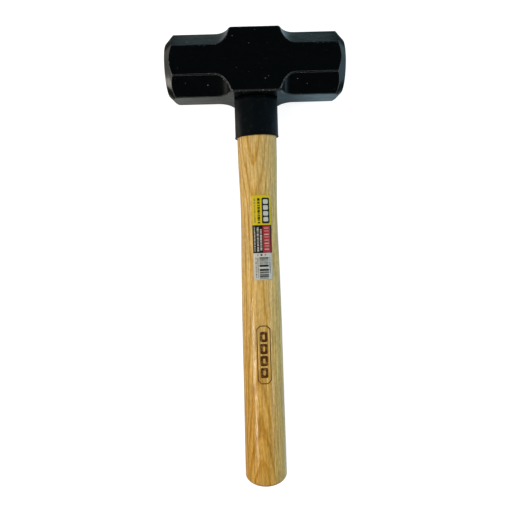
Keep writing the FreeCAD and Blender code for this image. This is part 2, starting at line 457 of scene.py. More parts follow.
def dashes() -> bpy.types.NodeTree:
    """Builds a row of uneven strokes along Y, to lay inside a bar.

    Returns:
        A group with Mask.
    """
    graph = Effect("Dashes", Place=None, Pitch=1.0, Filled=0.6, Seed=0.0)
    given = graph.given
    count = graph.math("DIVIDE", graph.split(given["Place"])["Y"], given["Pitch"])
    lot = graph.lot(graph.math("ADD", graph.math("FLOOR", count), given["Seed"]))
    share = graph.product(given["Filled"], graph.spread(lot, 0.0, 1.0, 0.55, 1.35))
    left = graph.math("SUBTRACT", share, graph.math("FRACT", count))
    return graph.finish(Mask=graph.spread(left, -0.04, 0.04))


@dataclass(frozen=True)
class Effects:
    """The shared effects, each built once."""

    wood_grain: bpy.types.NodeTree = field(default_factory=wood_grain)
    chips: bpy.types.NodeTree = field(default_factory=chips)
    worn_edge: bpy.types.NodeTree = field(default_factory=worn_edge)
    rubbed: bpy.types.NodeTree = field(default_factory=rubbed)
    bar: bpy.types.NodeTree = field(default_factory=bar)
    dashes: bpy.types.NodeTree = field(default_factory=dashes)


def start_material(name: str) -> tuple[bpy.types.Material, Graph, bpy.types.Node]:
    """Makes a material with one Principled shader in it.

    Args:
        name: The material's name.

    Returns:
        The material, its graph and the shader.
    """
    material = bpy.data.materials.new(name)
    material.use_nodes = True
    graph = Graph(material.node_tree)
    shader = graph.node("ShaderNodeBsdfPrincipled")
    graph.node("ShaderNodeOutputMaterial", {"Surface": shader.outputs["BSDF"]})
    return material, graph, shader


# ---- Finishes -------------------------------------------------------------------------------
@dataclass(frozen=True)
class Finish(ABC):
    """What one Principled shader is given."""

    title: ClassVar[str]

    @abstractmethod
    def shade(self, graph: Graph, effects: Effects) -> dict[str, Value]:
        """Draws the finish.

        Args:
            graph: The material's graph.
            effects: The shared effects.

        Returns:
            Values for the shader's inputs, by name.
        """

    def build(self, effects: Effects) -> bpy.types.Material:
        """Makes the material.

        Args:
            effects: The shared effects.

        Returns:
            The material.
        """
        material, graph, shader = start_material(self.title)
        for name, value in self.shade(graph, effects).items():
            graph.feed(shader.inputs[name], value)
        return material


@dataclass(frozen=True)
class BlackPaint(Finish):
    """Glossy black enamel over forged steel, chipped on the cheeks and rubbed at the edges, with a
    painted highlight along the lower edges.
    """

    title = "Black enamel"
    square: float
    colour: Colour = (0.0006, 0.0008, 0.0010, 1.0)
    # Grey of the primer in chips and rubbed edges, also used for the painted highlight along the
    # lower edges.
    primer_and_edge_highlight: Colour = (0.30, 0.31, 0.31, 1.0)
    edge_radius: float = 0.6
    edge_facing: Span = (0.998, 0.965)
    lower_side: Span = (0.0, -8.0)
    block_side: Span = (46.0, 26.0)
    corner_radius: float = 1.4
    gloss_index: float = 1.45
    gloss_tint: Colour = (0.84, 0.95, 1.0, 1.0)
    wear: float = 0.41
    wear_by_block: float = 0.11
    crest_wear: float = 0.62
    waves: tuple[tuple[float, float], ...] = ((0.07, 0.5), (0.9, 0.025))

    def shade(self, graph: Graph, effects: Effects) -> dict[str, Value]:
        """Draws the enamel, its chips and rubbed edges, a painted highlight along the lower edges,
        and the waves of the forging.

        Args:
            graph: The material's graph.
            effects: The shared effects.

        Returns:
            Values for the shader's inputs, by name.
        """
        place = graph.place()
        rounded = graph.node("ShaderNodeBevel", {"Radius": self.edge_radius * MM},
                             samples=6).outputs["Normal"]
        flat = graph.node("ShaderNodeNewGeometry").outputs["Normal"]
        edge = graph.spread(graph.vector("DOT_PRODUCT", rounded, flat), *self.edge_facing)
        parts = graph.split(place)
        lower = graph.spread(parts["Y"], *self.lower_side)
        near_block = graph.spread(graph.math("ABSOLUTE", parts["X"]), *self.block_side)
        from_corner = graph.math("SUBTRACT", self.square * 1.5,
                                 graph.math("SUBTRACT", parts["Z"], parts["Y"]))
        crest = graph.spread(from_corner, self.corner_radius * 0.75,
                             self.corner_radius * 0.95, 1.0, 0.0)
        sides = graph.product(lower, near_block, graph.inverse(crest))
        worn = graph.use(effects.worn_edge, Place=place,
                         Wear=graph.math("MULTIPLY_ADD", sides, self.wear_by_block, self.wear),
                         Edge=graph.strongest(edge, graph.product(crest, self.crest_wear)))
        chip = graph.use(effects.chips, Place=graph.place(offset=(11.0, 4.0, 0.0)),
                         Per_mm=0.42, Radius=0.12, Rarity=0.83)
        bare = graph.strongest(worn["Mask"], chip["Mask"])
        rub = graph.use(effects.rubbed, Place=place, Patch_size=16.0, Scratch_reach=7.0)
        # Painted highlight: a faint, even grey line along the lower edges and the block's lower
        # front corner, in place of a glint of light.
        painted_edge_highlight = graph.product(graph.strongest(edge, graph.product(crest, 0.15)), lower, 0.4)
        pale = graph.strongest(bare, graph.product(rub["Scratches"], 0.02), painted_edge_highlight)
        sheen = graph.spread(rub["Sheen"], *NOISE_MIDDLE, 0.16, 0.27)
        skin = rounded
        for scale, height in self.waves:
            skin = graph.relief(graph.noise(place, scale), height, over=skin)
        return {
            "IOR": self.gloss_index,
            "Specular Tint": self.gloss_tint,
            "Base Color": graph.mix(pale, self.colour, self.primer_and_edge_highlight),
            "Roughness": graph.math("MULTIPLY_ADD", bare, 0.3, sheen),
            "Normal": graph.relief(graph.inverse(bare), 0.08, over=skin),
        }


@dataclass(frozen=True)
class AshWood(Finish):
    """Clear-lacquered ash, with a mark burnt into the grip."""

    title = "Lacquered ash"
    axis_height: float
    butt: float
    pale: Colour = (0.57, 0.39, 0.14, 1.0)
    gold: Colour = (0.50, 0.305, 0.078, 1.0)
    deep: Colour = (0.42, 0.228, 0.034, 1.0)
    # Darker, more orange towards the butt: partly the wood's own colour, partly painted shade
    # where the light falls off.
    butt_tint_and_shade: Colour = (0.93, 0.78, 0.46, 1.0)
    # Pale band down the right side: partly sapwood, partly painted sheen on the side facing the
    # right lamp.
    sapwood_and_sheen: Colour = (0.56, 0.44, 0.18, 1.0)
    # Painted shade on the domed butt and its rounded rim.
    end: Colour = (0.15, 0.075, 0.014, 1.0)
    char: Colour = (0.066, 0.024, 0.005, 1.0)
    butt_tint_and_shade_along: Span = (-130.0, -320.0)
    sapwood_and_sheen_across: Span = (3.0, 12.0)
    sapwood_and_sheen_along: Span = (-60.0, -160.0)
    layer_tilt: float = 0.18
    bow: float = 0.00023
    bow_middle: float = -182.0
    ring_width: float = 1.8
    mark_middle: tuple[float, float] = (0.7, -222.1)
    mark_half: tuple[float, float] = (5.1, 22.6)
    mark_corner: float = 2.5
    mark_line: float = 0.32
    block_pitch: float = 9.4
    block_half: tuple[float, ...] = (2.95, 4.15, 0.0)
    slot_half: tuple[float, ...] = (0.85, 1.9, 0.0)

    def burnt_mark(self, graph: Graph, effects: Effects) -> Socket:
        """Draws a long octagon with a row of hollow blocks in it, on the upper side only.

        Args:
            graph: The material's graph.
            effects: The shared effects.

        Returns:
            How strongly each point is burnt.
        """
        here = graph.place(offset=(-self.mark_middle[0], -self.mark_middle[1], 0.0))
        signed = graph.split(here)
        across, along = [graph.math("ABSOLUTE", signed[axis]) for axis in "XY"]
        half_width, half_length = self.mark_half
        sides = graph.math("SUBTRACT", across, half_width)
        ends = graph.math("SUBTRACT", along, half_length)
        both = graph.math("ADD", graph.math("ADD", sides, ends), self.mark_corner)
        outline = graph.strongest(sides, ends, graph.product(both, math.sqrt(0.5)))
        line = graph.spread(graph.math("ABSOLUTE", outline), self.mark_line * 0.6,
                            self.mark_line * 1.5, 1.0, 0.0)
        step = graph.math("WRAP", signed["Y"], self.block_pitch, 0.0)
        cell = graph.join(signed["X"], graph.math("SUBTRACT", step, self.block_pitch / 2))
        block, slot = [
            graph.use(effects.bar, Place=cell, Half_size=half, Corner=corner, Blur=0.3)["Mask"]
            for half, corner in ((self.block_half, 1.5), (self.slot_half, 0.6))]
        row = graph.math("LESS_THAN", along, self.block_pitch * 2)
        uneven = graph.spread(graph.noise(here, 0.6, detail=3.0), 0.3, 0.65, 0.62, 1.0)
        blocks = graph.product(graph.math("SUBTRACT", block, slot), row, uneven)
        upper = graph.math("GREATER_THAN", signed["Z"], self.axis_height)
        return graph.product(graph.strongest(line, blocks), upper)

    def shade(self, graph: Graph, effects: Effects) -> dict[str, Value]:
        """Draws the grain and its drift in colour along the handle, partly painted shade and
        sheen, the mark and the lacquer.

        Args:
            graph: The material's graph.
            effects: The shared effects.

        Returns:
            Values for the shader's inputs, by name.
        """
        layers = graph.place(offset=(0.0, 0.0, -self.axis_height),
                             turn=(0.0, self.layer_tilt, 0.0))
        grain = graph.use(effects.wood_grain, Place=layers, Ring_width=self.ring_width,
                          Bow=self.bow, Bow_middle=self.bow_middle, Wander=2.2)
        wood = graph.ramp(grain["Early"], (
            (0.0, self.pale), (0.45, self.gold), (1.0, self.deep)))
        strand = graph.product(graph.spread(grain["Fibre"], 0.32, 0.68, 0.74, 1.2),
                               graph.spread(grain["Flecks"], *NOISE_MIDDLE, 0.86, 1.11),
                               graph.math("MULTIPLY_ADD", grain["Streaks"], 0.14, 1.0))
        strand = graph.node("ShaderNodeCombineColor", {
            "Red": strand, "Green": strand, "Blue": strand}).outputs["Color"]
        place = graph.place()
        parts = graph.split(place)
        # Pale right side, partly sapwood and partly painted sheen from the right lamp.
        sapwood_and_sheen_mask = graph.product(graph.spread(parts["X"], *self.sapwood_and_sheen_across, 0.0, 0.6),
                              graph.spread(parts["Y"], *self.sapwood_and_sheen_along, 0.4, 1.0))
        # Painted shade: darkens the domed butt and its rim, where the surface turns away from the
        # lamps.
        butt_painted_shade = graph.spread(parts["Y"], self.butt + 2.4, self.butt + 0.4, 0.0, 0.7)
        burn = self.burnt_mark(graph, effects)
        for amount, colour, blend in (
                (graph.spread(grain["Cloud"], 0.35, 0.7, 0.0, 0.35), self.gold, Blend.OVER),
                # Partly the wood's colour and partly painted shade, growing darker towards the
                # butt.
                (graph.spread(parts["Y"], *self.butt_tint_and_shade_along), self.butt_tint_and_shade, Blend.MULTIPLY),
                (sapwood_and_sheen_mask, self.sapwood_and_sheen, Blend.OVER),
                (butt_painted_shade, self.end, Blend.OVER),
                (1.0, strand, Blend.MULTIPLY),
                (graph.product(grain["Pores"], 0.55), self.deep, Blend.OVER),
                (graph.spread(burn, 0.0, 0.9), self.char, Blend.OVER)):
            wood = graph.mix(amount, wood, colour, blend)
        rub = graph.use(effects.rubbed, Place=place, Patch_size=22.0, Scratch_reach=9.0)
        sheen = graph.spread(rub["Sheen"], *NOISE_MIDDLE, 0.13, 0.20)
        height = graph.math("SUBTRACT", graph.math("MULTIPLY", grain["Fibre"], 0.5),
                            graph.math("ADD", grain["Pores"], graph.product(burn, 2.0)))
        waves = graph.relief(graph.noise(place, stretch=(0.2, 0.025, 0.2)), 0.4)
        return {
            "Base Color": wood,
            "Roughness": graph.math("MULTIPLY_ADD", burn, 0.3, sheen),
            "Specular IOR Level": graph.spread(burn, 0.0, 1.0, 0.5, 0.1),
            "Normal": graph.relief(height, 0.08, over=waves),
        }


@dataclass(frozen=True)
class MouldedPlastic(Finish):
    """Black moulded plastic with a satin skin and a few pale scuffs."""

    title = "Black moulded plastic"
    colour: Colour = (0.0010, 0.0022, 0.0032, 1.0)
    scuff: Colour = (0.10, 0.11, 0.11, 1.0)

    def shade(self, graph: Graph, effects: Effects) -> dict[str, Value]:
        """Draws the satin skin, its scuffs and the slight waves of the moulding.

        Args:
            graph: The material's graph.
            effects: The shared effects.

        Returns:
            Values for the shader's inputs, by name.
        """
        place = graph.place()
        rub = graph.use(effects.rubbed, Place=place, Patch_size=8.0, Scratch_reach=4.0)
        chip = graph.use(effects.chips, Place=place, Per_mm=0.2, Radius=0.05, Rarity=0.8)
        pale = graph.strongest(graph.product(rub["Scratches"], 0.4),
                               graph.product(chip["Mask"], 0.6))
        skin = graph.relief(graph.noise(place, 3.0), 0.012)
        return {
            "Specular IOR Level": 0.28,
            "Base Color": graph.mix(pale, self.colour, self.scuff),
            "Roughness": graph.spread(rub["Sheen"], *NOISE_MIDDLE, 0.36, 0.46),
            "Normal": graph.relief(graph.noise(place, 0.12, detail=1.0), 0.35, over=skin),
        }


@dataclass(frozen=True)
class WedgeWood(Finish):
    """Plain dry hardwood, darker than the handle, bruised where it was driven."""

    title = "Wedge hardwood"
    pale: Colour = (0.40, 0.24, 0.09, 1.0)
    dark: Colour = (0.20, 0.10, 0.032, 1.0)

    def shade(self, graph: Graph, effects: Effects) -> dict[str, Value]:
        """Draws close, dry grain across the wedge.

        Args:
            graph: The material's graph.
            effects: The shared effects.

        Returns:
            Values for the shader's inputs, by name.
        """
        grain = graph.use(effects.wood_grain, Place=graph.place(turn=(0.0, 0.6, 0.0)),
                          Ring_width=0.9, Wander=1.0)
        wood = graph.mix(grain["Early"], self.pale, self.dark)
        relief = graph.math("SUBTRACT", grain["Fibre"], grain["Pores"])
        return {
            "Base Color": graph.mix(graph.spread(grain["Fibre"], 0.45, 0.75, 0.0, 0.6), wood,
                                    self.dark),
            "Roughness": graph.spread(grain["Fibre"], *NOISE_MIDDLE, 0.6, 0.75),
            "Normal": graph.relief(relief, 0.12),
        }


@dataclass(frozen=True)
class WedgeSteel(Finish):
    """Bare steel wedge, dull from the hammer that drove it, with a little rust."""

    title = "Wedge steel"
    steel: Colour = (0.36, 0.35, 0.33, 1.0)
    rust: Colour = (0.16, 0.062, 0.022, 1.0)

    def shade(self, graph: Graph, effects: Effects) -> dict[str, Value]:
        """Draws bare metal, blotches of rust and the dents of the driving.

        Args:
            graph: The material's graph.
            effects: The shared effects.

        Returns:
            Values for the shader's inputs, by name.
        """
        place = graph.place()
        blotch = graph.spread(graph.noise(place, 0.45, detail=5.0, roughness=0.7), 0.50, 0.66)
        rub = graph.use(effects.rubbed, Place=place, Patch_size=3.0, Scratch_reach=2.0)
        sheen = graph.spread(rub["Sheen"], *NOISE_MIDDLE, 0.34, 0.52)
        relief = graph.math("ADD", graph.noise(place, 0.8, detail=3.0),
                            graph.product(rub["Scratches"], -0.4))
        return {
            "Base Color": graph.mix(blotch, self.steel, self.rust),
            "Metallic": graph.inverse(blotch),
            "Roughness": graph.math("MULTIPLY_ADD", blotch, 0.3, sheen),
            "Normal": graph.relief(relief, 0.12),
        }


class Ink(Enum):
    """Colours on the label."""

    YELLOW = (0.53, 0.41, 0.001, 1.0)
    BLACK = (0.006, 0.006, 0.006, 1.0)
    RED = (0.34, 0.012, 0.022, 1.0)
    WHITE = (0.45, 0.45, 0.41, 1.0)
    OLIVE = (0.22, 0.16, 0.02, 1.0)
    GREY = (0.03, 0.03, 0.035, 1.0)
    PINK = (0.52, 0.28, 0.22, 1.0)


@dataclass(frozen=True)
class PrintedBar:
    """One bar on the label, measured from the label's left side and near end."""

    ink: Ink
    left: float
    right: float
    near: float
    far: float
    corner: float = 0.1
    pitch: float = 0.0
    filled: float = 0.6

    def mask(self, graph: Graph, effects: Effects, place: Socket) -> Socket:
        """Draws the bar, broken into strokes where it has a pitch.

        Args:
            graph: The label material's graph.
            effects: The shared effects.
            place: The place on the label, in millimetres.

        Returns:
            The bar's mask.
        """
        middle = ((self.left + self.right) / 2, (self.near + self.far) / 2, 0.0)
        half = ((self.right - self.left) / 2, (self.far - self.near) / 2, 0.0)
        mask = graph.use(effects.bar, Place=place, Middle=middle, Half_size=half,
                         Corner=self.corner)["Mask"]
        if not self.pitch:
            return mask
        strokes = graph.use(effects.dashes, Place=place, Pitch=self.pitch,
                            Filled=self.filled, Seed=self.left * 10)["Mask"]
        return graph.product(mask, strokes)


@dataclass(frozen=True)
class PrintedFilm(Finish):
    """Glossy three-part label whose fields hold plain bars in place of words."""

    title = "Printed film"
    left: float
    near: float
    sections: tuple[tuple[float, Ink], ...] = (
        (23.2, Ink.YELLOW), (44.7, Ink.BLACK), (66.0, Ink.WHITE))
    bars: tuple[PrintedBar, ...] = (
        PrintedBar(Ink.BLACK, 7.5, 13.3, 2.3, 22.0, corner=0.9),
        *(PrintedBar(Ink.WHITE, 8.5, 12.3, near, near + 3.4, corner=0.9)
          for near in (3.6, 8.1, 12.6, 17.1)),
        PrintedBar(Ink.BLACK, 4.1, 6.0, 2.4, 21.9, pitch=1.3, filled=0.78),
        PrintedBar(Ink.OLIVE, 1.4, 2.6, 2.4, 21.9, pitch=1.1, filled=0.74),
        PrintedBar(Ink.RED, 7.7, 13.5, 23.9, 44.4, corner=0.2),
        PrintedBar(Ink.PINK, 8.9, 12.3, 25.2, 43.2, pitch=2.3, filled=0.36),
        PrintedBar(Ink.WHITE, 0.9, 1.9, 24.6, 43.4, pitch=0.7, filled=0.6),
        PrintedBar(Ink.WHITE, 3.2, 4.6, 24.6, 43.4, pitch=1.0, filled=0.62),
        PrintedBar(Ink.WHITE, 5.6, 7.0, 26.0, 42.6, pitch=1.1, filled=0.62),
        PrintedBar(Ink.GREY, 4.6, 11.7, 47.8, 64.8, pitch=1.0, filled=0.66),
        PrintedBar(Ink.BLACK, 4.6, 11.7, 53.8, 55.2),
        PrintedBar(Ink.WHITE, 4.5, 11.8, 55.6, 56.7),
        PrintedBar(Ink.BLACK, 4.6, 11.7, 57.1, 58.3),
        PrintedBar(Ink.GREY, 12.3, 13.1, 47.2, 60.5, pitch=1.3, filled=0.62),
        PrintedBar(Ink.GREY, 1.5, 2.4, 48.0, 63.8, pitch=1.1, filled=0.62),
        PrintedBar(Ink.GREY, 3.0, 3.8, 48.0, 63.8, pitch=0.9, filled=0.62),
        PrintedBar(Ink.BLACK, 5.5, 7.1, 45.5, 46.9, corner=0.7),
        PrintedBar(Ink.GREY, 3.2, 3.9, 45.7, 46.7, corner=0.3),
        PrintedBar(Ink.RED, 8.8, 9.8, 45.7, 46.6, corner=0.3),
    )

    def shade(self, graph: Graph, effects: Effects) -> dict[str, Value]:
        """Prints the sections, then the bars, and fades them where they are rubbed.

        Args:
            graph: The material's graph.
            effects: The shared effects.

        Returns:
            Values for the shader's inputs, by name.
        """
        place = graph.place(scale=(1.0, -1.0, 1.0), offset=(-self.left, self.near, 0.0))
        along = graph.split(place)["Y"]
        colour: Value = self.sections[0][1].value
        for (end, _), (_, ink) in zip(self.sections, self.sections[1:]):
            colour = graph.mix(graph.spread(along, end - 0.06, end + 0.06), colour, ink.value)
        for printed in self.bars:
            colour = graph.mix(printed.mask(graph, effects, place), colour, printed.ink.value)
        rub = graph.use(effects.rubbed, Place=place, Patch_size=9.0, Scratch_reach=5.0)
        faded = graph.strongest(graph.product(rub["Scratches"], 0.25),
                                graph.spread(rub["Sheen"], 0.55, 0.8, 0.0, 0.05))
        return {
            "Base Color": graph.mix(faded, colour, Ink.WHITE.value),
            "Roughness": graph.spread(rub["Sheen"], *NOISE_MIDDLE, 0.28, 0.4),
            "Normal": graph.relief(graph.noise(place, 0.25), 0.12),
        }


# ---- Meshes ---------------------------------------------------------------------------------
@dataclass(frozen=True)
class Oval:
    """One cross-section about the handle's axis: its place along the handle and its size."""

    along: float
    width: float
    depth: float

    def grown(self, by: float, moved: float = 0.0) -> "Oval":
        """The same section, larger by so much all round, and moved along the handle."""
        return Oval(self.along + moved, self.width + 2 * by, self.depth + 2 * by)

    def height_at(self, across: float) -> float:
        """How high above the axis the section's upper side is at a distance from its middle."""
        return self.depth / 2 * math.sqrt(max(0.0, 1 - (2 * across / self.width) ** 2))


@dataclass(frozen=True)
class HandleForm:
    """Smooth outline of the handle from the shoulder to the butt, at even steps."""

    shoulder: float
    butt: float
    profile: tuple[tuple[float, float], ...] = (
        (30.7, 23.9), (30.6, 24.0), (28.75, 22.7), (30.35, 23.8),
        (31.6, 24.8), (32.1, 25.3), (32.8, 25.9), (33.5, 26.5))

    def at(self, along: float) -> Oval:
        """Finds the cross-section at a place, on a smooth curve through the profile.

        Args:
            along: Where on the handle's axis, in millimetres.

        Returns:
            The cross-section there.
        """
        last = len(self.profile) - 1
        steps = (self.shoulder - along) / (self.shoulder - self.butt) * last
        index = min(max(int(steps), 0), last - 1)
        part = steps - index
        four = [self.profile[min(max(index + shift, 0), last)] for shift in (-1, 0, 1, 2)]
        width, depth = [smooth_between(side, part) for side in zip(*four)]
        return Oval(along, width, depth)


def smooth_between(four: Sequence[float], part: float) -> float:
    """Follows a smooth curve between the middle two of four even values.

    Args:
        four: The values.
        part: How far along, from 0 at the second value to 1 at the third.

    Returns:
        The value there.
    """
    before, start, end, after = four
    slope_in, slope_out = (end - before) / 2, (after - start) / 2
    square, cube = part ** 2, part ** 3
    return (start * (2 * cube - 3 * square + 1) + slope_in * (cube - 2 * square + part)
            + end * (3 * square - 2 * cube) + slope_out * (cube - square))


class OvalTube:
    """Tube about the handle's axis, each ring extruded from the one before."""

    def __init__(self, mesh: Mesh, first: Oval, sides: int = 96) -> None:
        """Draws the first ring.

        Args:
            mesh: What to draw in.
            first: The first cross-section.
            sides: Number of points in each ring.
        """
        self.mesh = mesh
        self.section = Oval(0.0, 2.0, 2.0)
        self.verts = bmesh.ops.create_circle(mesh, segments=sides, radius=MM)["verts"]
        upright = Matrix.Rotation(math.pi / 2, 3, "X")
        bmesh.ops.rotate(mesh, cent=(0, 0, 0), matrix=upright, verts=self.verts)
        self.edges = self._ring_edges()
        self.first_edges = self.edges
        self._reach(first)

    def _ring_edges(self) -> list[bmesh.types.BMEdge]:
        """The edges that join points of the last ring.

        Returns:
            The edges, in a fixed order.
        """
        ring = set(self.verts)
        return list(dict.fromkeys(edge for vert in self.verts for edge in vert.link_edges
                                  if set(edge.verts) <= ring))

    def _reach(self, section: Oval) -> None:
        """Moves and scales the last ring to a cross-section.

        Args:
            section: The cross-section.
        """
        old = self.section
        bmesh.ops.translate(self.mesh, verts=self.verts,
                            vec=(0, (section.along - old.along) * MM, 0))
        bmesh.ops.scale(self.mesh, verts=self.verts,
                        vec=(section.width / old.width, 1, section.depth / old.depth))
        self.section = section

    def extend(self, *sections: Oval) -> None:
        """Extrudes the last ring through more cross-sections.

        Args:
            *sections: The cross-sections, in order.
        """
        for section in sections:
            made = bmesh.ops.extrude_edge_only(self.mesh, edges=self.edges)["geom"]
            self.verts = [part for part in made if isinstance(part, bmesh.types.BMVert)]
            self.edges = self._ring_edges()
            self._reach(section)

    def close(self) -> None:
        """Draws the last ring together into one point."""
        middle = (0, self.section.along * MM, 0)
        bmesh.ops.pointmerge(self.mesh, verts=self.verts, merge_co=middle)

    def cap_start(self) -> None:
        """Fills the first ring with one face."""
        bmesh.ops.edgeloop_fill(self.mesh, edges=self.first_edges)


def place_mesh(mesh: Mesh, name: str, height: float = 0.0,
               smooth: bool = True) -> bpy.types.Object:
    """Turns a finished bmesh into an object at the origin.

    Args:
        mesh: The mesh, in metres, which is freed.
        name: The object's name.
        height: How far to lift the mesh, in millimetres.
        smooth: Whether its faces are shaded smooth.

    Returns:
        The object.
    """
    bmesh.ops.translate(mesh, verts=mesh.verts, vec=(0, 0, height * MM))
    bmesh.ops.recalc_face_normals(mesh, faces=mesh.faces)
    for face in mesh.faces:
        face.smooth = smooth
    data = bpy.data.meshes.new(name)
    mesh.to_mesh(data)
    mesh.free()
    made = bpy.data.objects.new(name, data)
    bpy.context.scene.collection.objects.link(made)
    return made


def round_off(mesh: Mesh, parts: Sequence[bmesh.types.BMEdge] | Sequence[bmesh.types.BMVert],
              radius: float, segments: int, what: Rounded = Rounded.EDGES) -> None:
    """Rounds edges or corners of a mesh.

    Args:
        mesh: The mesh.
        parts: The edges or the corners.
        radius: How far back the rounding starts, in millimetres.
        segments: Number of steps round it.
        what: Which of the two they are.
    """
    bmesh.ops.bevel(mesh, geom=parts, offset=radius * MM, offset_type="OFFSET",
                    segments=segments, profile=0.5, affect=what.value, material=-1)


def copy_solid(node: str) -> Mesh:
    """Copies a CAD node's solid, with the points of its faces joined up.

    Args:
        node: The node's name.

    Returns:
        The copy, in metres.
    """
    mesh = bmesh.new()
    mesh.from_mesh(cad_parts[node].data)
    bmesh.ops.remove_doubles(mesh, verts=mesh.verts, dist=0.001 * MM)
    return mesh


def dress_node(node: bpy.types.Object, material: bpy.types.Material) -> None:
    """Gives a CAD node its finish.

    Args:
        node: The CAD node.
        material: Its finish.
    """
    node.data.materials.clear()
    node.data.materials.append(material)


def dress_piece(piece: bpy.types.Object, material: bpy.types.Material,
                node: str) -> None:
    """Gives a new piece its finish and lets it stand for a CAD node.

    Args:
        piece: The new piece.
        material: Its finish.
        node: The CAD node that it stands for.
    """
    piece.data.materials.append(material)
    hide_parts(node)
    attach(piece, "root")


# ---- Sub-assemblies -------------------------------------------------------------------------
@dataclass
class Head:
    """Forged head, painted all over."""

    square: float

    def build(self, effects: Effects) -> None:
        """Paints the solid.

        Args:
            effects: The shared effects.
        """
        paint = BlackPaint(self.square)
        dress_node(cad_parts["head"], paint.build(effects))
        LOG.info("head: painted black")


@dataclass
class HandlePiece(ABC):
    """A new piece about the handle's axis, which stands for one CAD node."""

    title: ClassVar[str]
    node: ClassVar[str]
    slot: ClassVar[str]
    form: HandleForm
    axis_height: float

    @abstractmethod
    def model(self) -> Mesh:
        """Models the piece about the axis, in metres.

        Returns:
            The mesh, in metres.
        """

    @abstractmethod
    def finish(self) -> Finish:
        """Chooses the finish.

        Returns:
            The finish.
        """

    def build(self, effects: Effects) -> bpy.types.Object:
        """Makes the piece and gives it its finish.

        Args:
            effects: The shared effects.

        Returns:
            The finished piece.
        """
        piece = place_mesh(self.model(), self.title, self.axis_height)
        dress_piece(piece, self.finish().build(effects), self.node)
        LOG.info("%s: %d faces", self.node, len(piece.data.polygons))
        return piece


@dataclass
class Handle(HandlePiece):
    """Ash handle: wedged tenon, waist, swelling grip and domed butt."""

    title = "ash_handle"
    node = "handle"
    slot = "ash_wood"
    rings: int = 60
    dome_radius: float = 26.5
    rim_offset: float = 1.9
    tenon_gap: float = 0.2

    def _dome_height(self, vert: bmesh.types.BMVert) -> float:
        """Where the domed end is, level with a point of the mesh, in millimetres."""
        from_axis = math.hypot(vert.co.x, vert.co.z) / MM
        return self.form.butt + self.dome_radius - math.sqrt(
            self.dome_radius ** 2 - from_axis ** 2)

    def build_grip(self, mesh: Mesh) -> None:
        """Models everything below the head: the shank and its domed, rounded end.

        Args:
            mesh: The mesh to model in, in metres, about the handle's axis.
        """
        end = self.form.at(self.form.butt)
        start = self.form.butt + self.dome_radius / 3
        step = (self.form.shoulder - start) / self.rings
        tube = OvalTube(mesh, self.form.at(self.form.shoulder))
        tube.extend(*[self.form.at(self.form.shoulder - step * index)
                      for index in range(1, self.rings + 1)])
        tube.extend(end)
        rim = list(tube.edges)
        dome = list(tube.verts)
        for share in (0.92, 0.8, 0.65, 0.5, 0.35, 0.2, 0.08):
            tube.extend(Oval(end.along, end.width * share, end.depth * share))
            dome += tube.verts
        for vert in dome:
            vert.co.y = self._dome_height(vert) * MM
        tube.close()
        tube.cap_start()
        round_off(mesh, rim, self.rim_offset, 6)

    def build_tenon(self, mesh: Mesh) -> None:
        """Adds the kerfed tenon, cut from the solid just inside the eye.

        Args:
            mesh: The mesh to model in, in metres, about the handle's axis.
        """
        tenon = copy_solid(self.node)
        level = (self.form.shoulder + self.tenon_gap) * MM
        bmesh.ops.bisect_plane(tenon, geom=[*tenon.verts, *tenon.edges, *tenon.faces],
                               plane_co=(0, level, 0), plane_no=(0, 1, 0), clear_inner=True)
        bmesh.ops.holes_fill(tenon, edges=[edge for edge in tenon.edges if edge.is_boundary])
        bmesh.ops.translate(tenon, verts=tenon.verts, vec=(0, 0, -self.axis_height * MM))
        cut = bpy.data.meshes.new("tenon")
        tenon.to_mesh(cut)
        tenon.free()
        mesh.from_mesh(cut)
        bpy.data.meshes.remove(cut)

    def model(self) -> Mesh:
        """Models the grip and the tenon in one mesh.

        Returns:
            The mesh, in metres.
        """
        mesh = bmesh.new()
        self.build_grip(mesh)
        self.build_tenon(mesh)
        return mesh

    def finish(self) -> Finish:
        """Chooses ash whose grain and mark are set out from the butt."""
        return AshWood(self.axis_height, self.form.butt)

    def build(self, effects: Effects) -> bpy.types.Object:
        """Makes the handle as any piece, and keeps the tenon's cut faces flat.

        Args:
            effects: The shared effects.

        Returns:
            The finished piece.
        """
        piece = super().build(effects)
        for polygon in piece.data.polygons:
            polygon.use_smooth = polygon.center.y < self.form.shoulder * MM - 1e-6
        return piece


